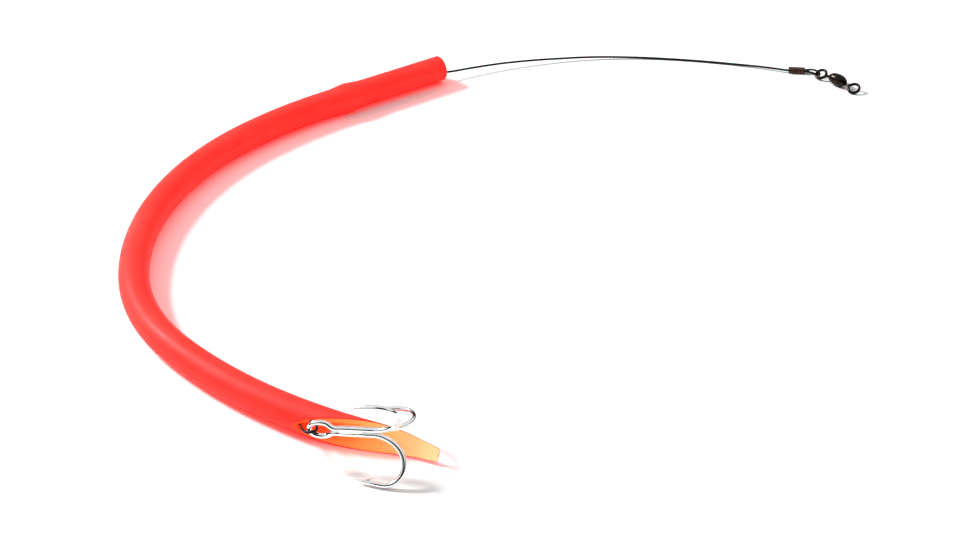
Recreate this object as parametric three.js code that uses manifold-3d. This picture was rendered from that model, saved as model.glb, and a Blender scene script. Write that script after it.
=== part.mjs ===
// A rigged surgical-tube fishing lure: a rubber tube bent in a C, a lead weight in its head, a cable
// leader through it, a barrel swivel in front and a treble hook behind its bevel-cut tail.
// Millimetres, +Z up. The tube and the hook rest on z = 0. The tail and the hook are at -Y.
import {
  BufferAttribute, BufferGeometry, CatmullRomCurve3, ConeGeometry, Curve, CylinderGeometry,
  ExtrudeGeometry, Group, LatheGeometry, Matrix4, Mesh, MeshStandardMaterial, Path, Shape,
  TorusGeometry, Vector2, Vector3,
} from 'three';
import { mergeVertices } from 'three/addons/utils/BufferGeometryUtils.js';
import Module from 'manifold-3d';

const wasm = await Module();
wasm.setup();

// ---- driving dimensions -------------------------------------------------------------------------
const TUBE_R = 4.75; // 3/8 inch tubing
const BORE_R = 3.175; // 1/4 inch bore
const HEAD = { x: 46.2, y: 116.55, heading: 215.3 }; // centre of the head's end, and the way in
// The tube's centreline from head to tail, as tangent arcs: [length, turn in degrees].
const BENDS = [
  [48, 0], [39, 15.2], [45, 23.9], [45, 23.8], [45, 33.1], [40, 14.7], [30, 9.7], [21, -4.8],
];
// The tail's bevel: [distance past its start, how far the cut stands from the tube's axis].
const BEVEL_START = 272.2;
const BEVEL = [
  [-0.8, 5.4], [0, 4.75], [2, 4.3], [5, 3.4], [10, 2.2], [18, 0.1], [28, -2.65], [35, -3.8], [42, -4.4],
];
const BEVEL_TILT = [-5, 27]; // the way the cut faces at its two ends: degrees up from level
const BEVEL_TOOL = { deep: 14, high: 9 }; // reach of the cutting block, past the tube all round
const WIRE_PRESS = 0.28; // how far the rear loop's wires press the soft wall aside

const CABLE_R = 0.4; // nylon-coated leader cable
// An oval crimp sleeve with two lanes for the cable.
const SLEEVE = { length: 6, wide: 2.95, high: 1.9, wall: 0.32, lane: 0.52 };
const CORE = { from: 5.5, to: 251.7 }; // the leader inside the tube, as distances from the head

const SINKER = { start: 7, length: 41, r: 2.85, nose: 1.5, bore: 0.8 };

const HOOK_WIRE_R = 0.75;
const EYE = new Vector3(18.9, -107.5, 10.5); // centre of the treble's eye
const SHANK = { azimuth: -11, elevation: 4.8 }; // the way the shank leaves the eye
const HOOK_ROLL = 52.1; // how far the treble's own upright is turned up from level
// One hook's wire, seen from the side: [distance from the eye along the shank, distance out from it].
const HOOK = [[13, 0], [16.2, 0.12], [19.9, 1.6], [22.4, 4], [23.5, 7.1], [23, 10.1], [21.1, 12.4],
  [18.9, 13.15], [16.8, 13], [14.8, 12.7]];
const HOOK_POINT = { length: 4.9, sunk: 0.25 }; // the ground point past the wire, and its root in it
const BARB = [[12.6, 12.3], [16.6, 11.2], [15.4, 12.7]];
const BARB_WIDTH = 0.5;
const BUNDLE = { double: 0.87, single: 1.17 }; // how far each shank sits from the treble's axis
const HOOK_ANGLES = { front: -90, upper: 27, rear: 153 }; // round the shank, from the side facing -Y
const EYE_LOOP = { centre: -0.3, halfLength: 2.9, halfWidth: 2.05, neck: 3.6 };
// The braze between the shanks: where it starts, its reach into the grooves, its gap to the wires.
const BRAZE = { from: 5.2, length: 7, double: 1.05, single: 1.35, gap: 0.1 };

const SWIVEL = { x: 191.6, y: 112.3, z: 2.25, heading: -46.9 }; // centre of the barrel, and its axis
const BARREL = { half: 3.4, r: 2.2, cavity: 1.6, cavityHalf: 2.5, hole: 0.98 };
const RING = { centre: 7.6, r: 1.95, wire: 0.53, lean: 60 }; // lean is from upright, away from -Y
const EYE_DIP = { at: 1.7, rear: 5, front: 7 }; // where each head is held, and the eyes' droop
const RING_HEAD = { r: 1.25, from: 1.2, to: 2.1 };

// ---- helpers ------------------------------------------------------------------------------------
const rad = (degrees) => (degrees * Math.PI) / 180;
const v3 = (x, y, z) => new Vector3(x, y, z);

function toSolid(geometry) {
  const bare = geometry.clone();
  bare.deleteAttribute('normal');
  bare.deleteAttribute('uv');
  const merged = mergeVertices(bare, 1e-4);
  return new wasm.Manifold(new wasm.Mesh({
    numProp: 3,
    vertProperties: new Float32Array(merged.attributes.position.array),
    triVerts: new Uint32Array(merged.index.array),
  }));
}

function toGeometry(solid) {
  const mesh = solid.getMesh();
  const geometry = new BufferGeometry();
  geometry.setAttribute('position', new BufferAttribute(new Float32Array(mesh.vertProperties), 3));
  geometry.setIndex(new BufferAttribute(new Uint32Array(mesh.triVerts), 1));
  geometry.computeVertexNormals();
  return geometry;
}

const join = (geometries) => toGeometry(geometries.map(toSolid).reduce((all, next) => all.add(next)));
// Cuts the tools away, and merges the slivers that a cut leaves.
const cut = (geometry, tools) => toGeometry(
  tools.map(toSolid).reduce((rest, tool) => rest.subtract(tool), toSolid(geometry)).simplify(0.01),
);

function roundPoints(r, sides) {
  return Array.from({ length: sides }, (_, i) => {
    const a = (2 * Math.PI * i) / sides;
    return new Vector2(r * Math.cos(a), r * Math.sin(a));
  });
}

// A round bar or, with a bore, a pipe along a curve.
function sweep(curve, r, sides, step, bore = 0) {
  const section = new Shape(roundPoints(r, sides));
  if (bore) section.holes.push(new Path(roundPoints(bore, sides)));
  const steps = Math.round(curve.getLength() / step);
  return new ExtrudeGeometry(section, { steps, bevelEnabled: false, extrudePath: curve });
}

const through = (points) => new CatmullRomCurve3(points, false, 'centripetal');

// A flat line of tangent arcs at one height.
class Arcs extends Curve {
  constructor(start, heading, bends, height) {
    super();
    Object.assign(this, { start, heading: rad(heading), bends, height });
    this.total = bends.reduce((sum, [length]) => sum + length, 0);
  }

  // Place and heading at a distance from the start.
  station(distance) {
    let { x, y } = this.start;
    let heading = this.heading;
    let left = distance;
    for (const [index, [length, turn]] of this.bends.entries()) {
      const last = index === this.bends.length - 1;
      const run = last ? left : Math.min(left, length);
      const turned = (rad(turn) * run) / length;
      const chord = Math.abs(turned) < 1e-9 ? run : (2 * run * Math.sin(turned / 2)) / turned;
      x += chord * Math.cos(heading + turned / 2);
      y += chord * Math.sin(heading + turned / 2);
      heading += turned;
      left -= run;
      if (left <= 0) break;
    }
    return { x, y, heading };
  }

  // A point beside the line: side is positive on the outside of the C, the side facing -Y at the tail.
  beside(distance, side, height = this.height) {
    const { x, y, heading } = this.station(distance);
    return v3(x + side * Math.sin(heading), y - side * Math.cos(heading), height);
  }

  getPoint(t, target = new Vector3()) {
    return target.copy(this.beside(t * this.total, 0));
  }
}

// A piece of another curve, between two distances along it.
class Stretch extends Curve {
  constructor(line, from, to) {
    super();
    Object.assign(this, { line, from, to });
  }

  getPoint(t, target = new Vector3()) {
    return target.copy(this.line.beside(this.from + t * (this.to - this.from), 0));
  }
}

// A closed skin through rings of the same number of corners, flat at both ends.
function loft(rings) {
  const sides = rings[0].length;
  const corner = (ring, side) => ring * sides + (side % sides);
  const faces = [];
  for (let ring = 0; ring + 1 < rings.length; ring += 1) {
    for (let side = 0; side < sides; side += 1) {
      const [a, b] = [corner(ring, side), corner(ring, side + 1)];
      const [c, d] = [corner(ring + 1, side + 1), corner(ring + 1, side)];
      faces.push([a, b, c], [a, c, d]);
    }
  }
  const end = rings.length - 1;
  for (let side = 1; side + 1 < sides; side += 1) {
    faces.push([corner(0, 0), corner(0, side + 1), corner(0, side)]);
    faces.push([corner(end, 0), corner(end, side), corner(end, side + 1)]);
  }
  const geometry = new BufferGeometry().setFromPoints(rings.flat());
  geometry.setIndex(faces.flat());
  return geometry;
}

// Places a geometry whose own X, Y and Z run along three directions, at an origin.
function placed(geometry, origin, x, y, z) {
  return geometry.applyMatrix4(new Matrix4().makeBasis(x, y, z).setPosition(origin));
}

const centreline = new Arcs(HEAD, HEAD.heading, BENDS, TUBE_R);

// ---- rubber tube --------------------------------------------------------------------------------
function tubeBody() {
  const pipe = sweep(centreline, TUBE_R, 16, 6, BORE_R);
  const [first, last] = [BEVEL[0][0], BEVEL.at(-1)[0]];
  const blocks = BEVEL.map(([along, side]) => {
    const tilt = BEVEL_TILT[0] + ((BEVEL_TILT[1] - BEVEL_TILT[0]) * (along - first)) / (last - first);
    const corner = (out, up) => centreline.beside(
      BEVEL_START + along,
      out * Math.cos(rad(tilt)) - up * Math.sin(rad(tilt)),
      TUBE_R + out * Math.sin(rad(tilt)) + up * Math.cos(rad(tilt)),
    );
    const { deep, high } = BEVEL_TOOL;
    return [
      corner(side + deep, high), corner(side + deep, -high), corner(side, -high), corner(side, high),
    ];
  });
  const notch = sweep(rearLoop(), CABLE_R + WIRE_PRESS, 8, 2);
  return cut(pipe, [loft(blocks), notch]);
}

// ---- lead weight in the head --------------------------------------------------------------------
function headSinker() {
  const { start, length, r, nose, bore } = SINKER;
  const profile = [
    [bore, 0], [nose, 0], [r * 0.72, length * 0.12], [r * 0.92, length * 0.4], [r, length * 0.75],
    [r, length * 0.9], [nose, length], [bore, length], [bore, 0],
  ].map(([x, y]) => new Vector2(x, y));
  const along = new Vector3(Math.cos(centreline.heading), Math.sin(centreline.heading), 0);
  const up = v3(0, 0, 1);
  return placed(new LatheGeometry(profile, 16), centreline.beside(start, 0),
    new Vector3().crossVectors(along, up), along, up);
}

// ---- leader -------------------------------------------------------------------------------------
// The free stretch, from the weight's nose to the front sleeve, where it lies on the table.
const FREE_ROUTE = [
  [42.0, 113.6, 4.3], [45.6, 115.7, 3.5], [49.4, 117.2, 3.0], [57.0, 120.9, 2.6], [68.1, 125.4, 2.2],
  [75.6, 127.8, 1.9], [83.1, 129.8, 1.6], [90.6, 131.4, 1.3], [98.1, 132.7, 1.1], [105.7, 133.5, 0.9],
  [113.2, 133.8, 0.7], [120.7, 133.7, 0.55], [128.2, 133.1, 0.48], [135.6, 132.2, 0.44],
  [143.0, 131.0, 0.44], [150.4, 129.5, 0.48], [157.6, 127.8, 0.55], [164.9, 125.8, 0.75],
  [170.4, 123.9, 0.9], [174.9, 122.35, 0.95], [176.8, 122.12, 0.95],
];

// A sleeve lies along a line, its two lanes side by side. lane is -1 or 1.
function lanePoint(sleeve, along, lane) {
  return sleeve.centre.clone().addScaledVector(sleeve.axis, along)
    .addScaledVector(sleeve.across, lane * SLEEVE.lane);
}

const frontAxis = v3(Math.cos(rad(-6)), Math.sin(rad(-6)), 0);
const frontSleeve = {
  centre: v3(178.1, 122.5, 0.95),
  axis: frontAxis,
  across: v3(-frontAxis.y, frontAxis.x, 0),
};
const rearStation = centreline.station(253);
const rearAxis = v3(Math.cos(rearStation.heading), Math.sin(rearStation.heading), 0);
const rearSleeve = {
  centre: centreline.beside(253, 0),
  axis: rearAxis,
  across: v3(-rearAxis.y, rearAxis.x, 0),
};

function ovalPoints(wide, high) {
  const r = high / 2;
  const flat = wide / 2 - r;
  const end = (sign) => Array.from({ length: 7 }, (_, i) => {
    const a = rad(-90 + 30 * i);
    return new Vector2(sign * (flat + r * Math.cos(a)), sign * r * Math.sin(a));
  });
  return [...end(1), ...end(-1)];
}

function crimpSleeve(sleeve) {
  const section = new Shape(ovalPoints(SLEEVE.wide, SLEEVE.high));
  const inside = [SLEEVE.wide - 2 * SLEEVE.wall, SLEEVE.high - 2 * SLEEVE.wall];
  section.holes.push(new Path(ovalPoints(...inside)));
  const body = new ExtrudeGeometry(section, { depth: SLEEVE.length, bevelEnabled: false })
    .translate(0, 0, -SLEEVE.length / 2);
  const up = new Vector3().crossVectors(sleeve.axis, sleeve.across);
  return placed(body, sleeve.centre, sleeve.across, up, sleeve.axis);
}

// ---- barrel swivel ------------------------------------------------------------------------------
const swivelCentre = v3(SWIVEL.x, SWIVEL.y, SWIVEL.z);
const swivelAxis = v3(Math.cos(rad(SWIVEL.heading)), Math.sin(rad(SWIVEL.heading)), 0);
const swivelSide = v3(-swivelAxis.y, swivelAxis.x, 0);
const ringLean = v3(0, 0, Math.cos(rad(RING.lean))).addScaledVector(swivelSide, Math.sin(rad(RING.lean)));
const ringNormal = new Vector3().crossVectors(swivelAxis, ringLean);

function swivelBarrel() {
  const { half, r, cavity, cavityHalf, hole } = BARREL;
  const profile = [
    [hole, -half], [r * 0.62, -half], [r * 0.93, -half * 0.62], [r, -half * 0.2], [r, half * 0.2],
    [r * 0.93, half * 0.62], [r * 0.62, half], [hole, half], [hole, cavityHalf], [cavity, cavityHalf],
    [cavity, -cavityHalf], [hole, -cavityHalf], [hole, -half],
  ].map(([x, y]) => new Vector2(x, y));
  const barrel = new LatheGeometry(profile, 20);
  return placed(barrel, swivelCentre, ringLean, swivelAxis, ringNormal.clone().negate());
}

// The directions of an eye: along it, up its ring's slope, and square to its ring. side is -1 for the
// rear eye, whose along still points forwards.
function eyeFrame(side) {
  const dip = rad(side < 0 ? EYE_DIP.rear : EYE_DIP.front);
  const x = swivelAxis.clone().multiplyScalar(Math.cos(dip)).add(v3(0, 0, -side * Math.sin(dip)));
  const y = ringLean.clone().addScaledVector(x, -ringLean.dot(x)).normalize();
  const held = swivelCentre.clone().addScaledVector(swivelAxis, side * EYE_DIP.at);
  return { x, y, z: new Vector3().crossVectors(x, y), origin: held.addScaledVector(x, -side * EYE_DIP.at) };
}

// An eye: a ring of wire on a stem whose head turns inside the barrel.
function swivelEye(side) {
  const ring = new TorusGeometry(RING.r, RING.wire, 8, 24).translate(side * RING.centre, 0, 0);
  const stemEnd = RING.centre - RING.r;
  const rod = (radius, near, far) => new CylinderGeometry(radius, radius, far - near, 12)
    .rotateZ(Math.PI / 2).translate((side * (near + far)) / 2, 0, 0);
  const { r, from, to } = RING_HEAD;
  const eye = join([ring, rod(RING.wire, (from + to) / 2, stemEnd), rod(r, from, to)]);
  const { origin, x, y, z } = eyeFrame(side);
  return placed(eye, origin, x, y, z);
}

// The leader's front loop: out of one lane, round the rear ring's wire and back into the other lane.
function frontLoop() {
  const { origin, x, z } = eyeFrame(-1);
  const wire = origin.addScaledVector(x, -RING.centre - RING.r);
  const at = (along, out) => wire.clone().addScaledVector(x, along).addScaledVector(z, out);
  return through([
    lanePoint(frontSleeve, -0.9, -1), lanePoint(frontSleeve, 1.6, -1), lanePoint(frontSleeve, 3.2, -1),
    at(-1.9, -1.05), at(-0.4, -1.23), at(0.85, -0.82), at(1.27, 0),
    at(0.85, 0.82), at(-0.4, 1.23), at(-1.9, 1.05),
    lanePoint(frontSleeve, 3.2, 1), lanePoint(frontSleeve, 1.6, 1), lanePoint(frontSleeve, -2.6, 1),
  ]);
}

// ---- treble hook --------------------------------------------------------------------------------
const shankAxis = v3(
  Math.cos(rad(SHANK.elevation)) * Math.cos(rad(SHANK.azimuth)),
  Math.cos(rad(SHANK.elevation)) * Math.sin(rad(SHANK.azimuth)),
  Math.sin(rad(SHANK.elevation)),
);
const roll = v3(0, Math.cos(rad(HOOK_ROLL)), Math.sin(rad(HOOK_ROLL)));
const hookUp = roll.clone().addScaledVector(shankAxis, -roll.dot(shankAxis)).normalize();
const hookSide = new Vector3().crossVectors(shankAxis, hookUp);
const outward = (angle) => hookSide.clone().multiplyScalar(Math.cos(rad(angle)))
  .addScaledVector(hookUp, Math.sin(rad(angle)));
const onHook = (angle, along, out) => EYE.clone().addScaledVector(shankAxis, along)
  .addScaledVector(outward(angle), out);

// The wire's centre from the shank to where the point is ground.
const hookLine = (angle, offset) => HOOK.map(([along, out]) => onHook(angle, along, out + offset));

function hookPointAndBarb(angle, offset) {
  const line = through(hookLine(angle, offset));
  const tip = line.getPoint(1);
  const way = line.getTangent(1);
  const out = outward(angle);
  const side = new Vector3().crossVectors(way, out).normalize();
  const { length, sunk } = HOOK_POINT;
  const ground = new ConeGeometry(HOOK_WIRE_R, length, 8).translate(0, length / 2 - sunk, 0);
  placed(ground, tip, new Vector3().crossVectors(way, side), way, side);
  const barb = new ExtrudeGeometry(new Shape(BARB.map(([x, y]) => new Vector2(x, y + offset))), {
    depth: BARB_WIDTH, bevelEnabled: false,
  }).translate(0, 0, -BARB_WIDTH / 2);
  placed(barb, EYE, shankAxis, out, new Vector3().crossVectors(shankAxis, out));
  return [ground, barb];
}

// One length of wire makes two of the hooks and, between them, the eye.
function doubleHook() {
  const { front, upper } = HOOK_ANGLES;
  const apart = outward(upper).sub(outward(front)).normalize();
  const ringPoint = (along, out) => EYE.clone().addScaledVector(shankAxis, along)
    .addScaledVector(apart, out);
  const { centre, halfLength, halfWidth, neck } = EYE_LOOP;
  const shank = (angle) => [neck, 6.5, 10].map((along) => onHook(angle, along, BUNDLE.double));
  const around = [[0.66, -0.9], [0, -1], [-0.7, -0.72], [-1, 0], [-0.7, 0.72], [0, 1], [0.66, 0.9]]
    .map(([along, out]) => ringPoint(centre + along * halfLength, out * halfWidth));
  const wire = through([
    ...hookLine(front, BUNDLE.double).reverse(), ...shank(front).reverse(),
    ...around,
    ...shank(upper), ...hookLine(upper, BUNDLE.double),
  ]);
  return join([
    sweep(wire, HOOK_WIRE_R, 8, 0.9),
    ...hookPointAndBarb(front, BUNDLE.double), ...hookPointAndBarb(upper, BUNDLE.double),
  ]);
}

function singleHook() {
  const { rear } = HOOK_ANGLES;
  const shank = [4.4, 8].map((along) => onHook(rear, along, BUNDLE.single));
  const wire = through([...shank, ...hookLine(rear, BUNDLE.single)]);
  return join([sweep(wire, HOOK_WIRE_R, 8, 0.9), ...hookPointAndBarb(rear, BUNDLE.single)]);
}

// Braze that fills the core between the three shanks and runs out into the grooves.
function shankBraze() {
  const { front, upper, rear } = HOOK_ANGLES;
  const { from, length, double, single, gap } = BRAZE;
  const corner = (angle, out) => new Vector2(out * Math.cos(rad(angle)), out * Math.sin(rad(angle)));
  const section = new Shape([corner(front, double), corner(upper, double), corner(rear, single)]);
  const farEnd = EYE.clone().addScaledVector(shankAxis, from + length);
  const frame = (geometry) => placed(geometry, farEnd, hookSide, hookUp, shankAxis.clone().negate());
  const prism = frame(new ExtrudeGeometry(section, { depth: length, bevelEnabled: false }));
  const wires = [[front, BUNDLE.double], [upper, BUNDLE.double], [rear, BUNDLE.single]];
  const shanks = wires.map(([angle, out]) => {
    const place = corner(angle, out);
    return frame(new CylinderGeometry(HOOK_WIRE_R + gap, HOOK_WIRE_R + gap, length + 2, 16)
      .rotateX(Math.PI / 2).translate(place.x, place.y, length / 2));
  });
  return cut(prism, shanks);
}

// The leader's rear loop: out of the rear sleeve, out of the tube's mouth, round the eye and back.
function rearLoop() {
  return through([
    lanePoint(rearSleeve, -0.9, -1), lanePoint(rearSleeve, 1.6, -1), lanePoint(rearSleeve, 3.2, -1),
    centreline.beside(262, 0.7, 4.5), centreline.beside(269, 1.7, 4.3), v3(12.2, -98.1, 5.0),
    v3(13.1, -102.1, 7.1), v3(13.9, -106.2, 9.3), v3(15.6, -108.45, 10.1),
    v3(17.7, -107.9, 10.5), v3(17.7, -105.8, 10.3), v3(16.1, -101.5, 8.1), v3(14.2, -97.3, 5.9),
    centreline.beside(269, 0.7, 5.3), centreline.beside(262, -0.3, 4.9),
    lanePoint(rearSleeve, 3.2, 1), lanePoint(rearSleeve, 1.6, 1), lanePoint(rearSleeve, -0.9, 1),
  ]);
}

// ---- materials and assembly ---------------------------------------------------------------------
const paint = (color, roughness, metalness) => ({ color, roughness, metalness });
const RUBBER = paint(0xf83c38, 0.45, 0);
const LEAD = paint(0x6f7275, 0.6, 1);
const CABLE = paint(0x121212, 0.4, 0);
const COPPER = paint(0x5a3a30, 0.4, 1);
const BLACK_NICKEL = paint(0x222224, 0.25, 1);
const TINNED = paint(0xdcdfe2, 0.15, 1);
const SOLDER = paint(0xc9ccce, 0.35, 1);

const PIECES = [
  ['tube_body', tubeBody(), RUBBER],
  ['head_sinker', headSinker(), LEAD],
  ['leader_cable', sweep(through(FREE_ROUTE.map((p) => v3(...p))), CABLE_R, 8, 1.75), CABLE],
  ['leader_core', sweep(new Stretch(centreline, CORE.from, CORE.to), CABLE_R, 6, 6), CABLE],
  ['front_sleeve', crimpSleeve(frontSleeve), COPPER],
  ['front_loop', sweep(frontLoop(), CABLE_R, 8, 0.7), CABLE],
  ['swivel_rear_eye', swivelEye(-1), BLACK_NICKEL],
  ['swivel_barrel', swivelBarrel(), BLACK_NICKEL],
  ['swivel_front_eye', swivelEye(1), BLACK_NICKEL],
  ['rear_sleeve', crimpSleeve(rearSleeve), COPPER],
  ['rear_loop', sweep(rearLoop(), CABLE_R, 8, 1), CABLE],
  ['treble_double_hook', doubleHook(), TINNED],
  ['treble_single_hook', singleHook(), TINNED],
  ['treble_braze', shankBraze(), SOLDER],
];

const lure = new Group();
for (const [name, geometry, look] of PIECES) {
  const mesh = new Mesh(geometry, new MeshStandardMaterial(look));
  mesh.name = name;
  lure.add(mesh);
}

export default lure;
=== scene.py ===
"""A rigged surgical-tube fishing lure lying on a white table: a red rubber tube bent in a C, a treble
hook behind its bevel-cut tail, and a cable leader from its head to a crimp sleeve and a barrel swivel.
Metres, in the CAD model's frame."""

import math

import bmesh
import bpy
import numpy as np
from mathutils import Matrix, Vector
from mathutils.geometry import convex_hull_2d
from mathutils.noise import noise


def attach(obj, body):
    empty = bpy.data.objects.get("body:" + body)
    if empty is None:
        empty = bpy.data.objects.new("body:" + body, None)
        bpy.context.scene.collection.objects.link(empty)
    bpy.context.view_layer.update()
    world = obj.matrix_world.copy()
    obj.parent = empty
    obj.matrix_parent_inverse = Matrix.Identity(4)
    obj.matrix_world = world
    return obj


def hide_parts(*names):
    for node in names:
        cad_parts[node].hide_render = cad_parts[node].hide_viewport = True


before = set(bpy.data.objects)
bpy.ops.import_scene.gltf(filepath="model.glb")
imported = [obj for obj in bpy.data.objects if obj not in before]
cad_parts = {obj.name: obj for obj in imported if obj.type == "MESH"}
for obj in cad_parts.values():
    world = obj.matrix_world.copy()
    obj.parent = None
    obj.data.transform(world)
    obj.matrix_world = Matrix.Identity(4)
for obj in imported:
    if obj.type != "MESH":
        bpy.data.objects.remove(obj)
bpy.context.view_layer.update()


# ---- points and directions ------------------------------------------------------------------------
def vec(*xyz):
    return np.array(xyz, float)


def unit(v):
    return v / np.linalg.norm(v)


def turned(degrees):
    """The level direction that points this far round from +X."""
    angle = math.radians(degrees)
    return vec(math.cos(angle), math.sin(angle), 0)


def smooth_line(points, step):
    """A centripetal Catmull-Rom curve through the points, in even steps, and eased a little."""
    points = np.array(points, float)
    first = 2 * points[0] - points[1]
    last = 2 * points[-1] - points[-2]
    padded = np.vstack([first, points, last])
    pieces = []
    for p0, p1, p2, p3 in zip(padded, padded[1:], padded[2:], padded[3:]):
        gaps = [np.linalg.norm(b - a) ** 0.5 for a, b in ((p0, p1), (p1, p2), (p2, p3))]
        t1, t2, t3 = np.cumsum(gaps)
        t = np.linspace(t1, t2, 24, endpoint=False)[:, None]
        a1 = (t1 - t) / t1 * p0 + t / t1 * p1
        a2 = (t2 - t) / (t2 - t1) * p1 + (t - t1) / (t2 - t1) * p2
        a3 = (t3 - t) / (t3 - t2) * p2 + (t - t2) / (t3 - t2) * p3
        b1 = (t2 - t) / t2 * a1 + t / t2 * a2
        b2 = (t3 - t) / (t3 - t1) * a2 + (t - t1) / (t3 - t1) * a3
        pieces.append((t2 - t) / (t2 - t1) * b1 + (t - t1) / (t2 - t1) * b2)
    line = even_line(np.vstack([*pieces, points[-1:]]), step)
    for _ in range(3):
        line[1:-1] = (line[:-2] + 2 * line[1:-1] + line[2:]) / 4
    return line


def distances(line):
    return np.concatenate([[0], np.cumsum(np.linalg.norm(np.diff(line, axis=0), axis=1))])


def even_line(line, step):
    """The same line with its points an even step apart."""
    along = distances(line)
    marks = np.linspace(0, along[-1], max(2, round(along[-1] / step) + 1))
    return np.stack([np.interp(marks, along, line[:, axis]) for axis in range(3)], axis=1)


def carried_frames(line):
    """Tangent, side and up at each point of a line, carried along it without twist."""
    tangents = np.gradient(line, axis=0)
    tangents /= np.linalg.norm(tangents, axis=1)[:, None]
    start = vec(0, 0, 1) if abs(tangents[0][2]) < 0.8 else vec(1, 0, 0)
    side = unit(np.cross(start, tangents[0]))
    sides = []
    for tangent in tangents:
        side = unit(side - tangent * side.dot(tangent))
        sides.append(side)
    sides = np.array(sides)
    return tangents, sides, np.cross(tangents, sides)


# ---- meshes ---------------------------------------------------------------------------------------
class Skin:
    """Vertices and faces gathered from grids, with a place along and round the piece on each corner."""

    def __init__(self):
        self.points = []
        self.faces = []
        self.wraps = []
        self.slots = []

    def grid(self, rows, slot=0, wraps=None, closed=False):
        """Joins rows of points with quads. closed joins each row's last point to its first."""
        rows = np.asarray(rows, float)
        count, width = rows.shape[:2]
        base = len(self.points)
        self.points.extend(rows.reshape(-1, 3))
        if wraps is None:
            along = distances(rows[:, 0])
            wraps = [[(j / width, a) for j in range(width + 1)] for a in along]
        for i in range(count - 1):
            for j in range(width if closed else width - 1):
                k = (j + 1) % width
                corners = [(i, j), (i + 1, j), (i + 1, k), (i, k)]
                self.faces.append([base + r * width + c for r, c in corners])
                self.wraps.append([wraps[r][j if c == j else j + 1] for r, c in corners])
                self.slots.append(slot)

    def fan(self, ring, slot=0):
        """A flat face over a ring of points."""
        base = len(self.points)
        self.points.extend(np.asarray(ring, float))
        self.faces.append(list(range(base, base + len(ring))))
        self.wraps.append([(0.5, 0)] * len(ring))
        self.slots.append(slot)

    def tube(self, line, radius, sides=16, slot=0, ends=True):
        """A bar along a line. radius is a number or a function of (distances, angles)."""
        along = distances(line)
        angles = np.arange(sides) * 2 * math.pi / sides
        _, side, up = carried_frames(line)
        grown = np.ones((len(line), sides)) * (
            radius(along[:, None], angles[None, :]) if callable(radius) else radius
        )
        spokes = (
            side[:, None] * np.cos(angles)[None, :, None] + up[:, None] * np.sin(angles)[None, :, None]
        )
        rows = line[:, None] + spokes * grown[..., None]
        wraps = [[(j / sides, a) for j in range(sides + 1)] for a in along]
        self.grid(rows, slot, wraps, closed=True)
        if ends:
            self.fan(rows[0], slot)
            self.fan(rows[-1], slot)
        return rows

    def make(self, name, body, materials, replaces, weld=1e-7, sharp=50):
        """The finished object, welded, facing out, riding on a body and standing for CAD nodes."""
        mesh = bpy.data.meshes.new(name)
        mesh.from_pydata([tuple(p) for p in self.points], [], self.faces)
        layer = mesh.uv_layers.new(name="Wrap")
        layer.data.foreach_set("uv", np.array([w for face in self.wraps for w in face]).ravel())
        mesh.polygons.foreach_set("material_index", self.slots)
        bm = bmesh.new()
        bm.from_mesh(mesh)
        bmesh.ops.remove_doubles(bm, verts=bm.verts, dist=weld)
        bmesh.ops.dissolve_degenerate(bm, edges=bm.edges, dist=weld)
        bmesh.ops.recalc_face_normals(bm, faces=bm.faces)
        for edge in bm.edges:
            edge.smooth = len(edge.link_faces) == 2 and edge.calc_face_angle(0) < math.radians(sharp)
        for face in bm.faces:
            face.smooth = True
        bm.to_mesh(mesh)
        bm.free()
        for material in materials:
            mesh.materials.append(material)
        piece = bpy.data.objects.new(name, mesh)
        bpy.context.scene.collection.objects.link(piece)
        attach(piece, body)
        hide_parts(*replaces)
        return piece


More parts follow.
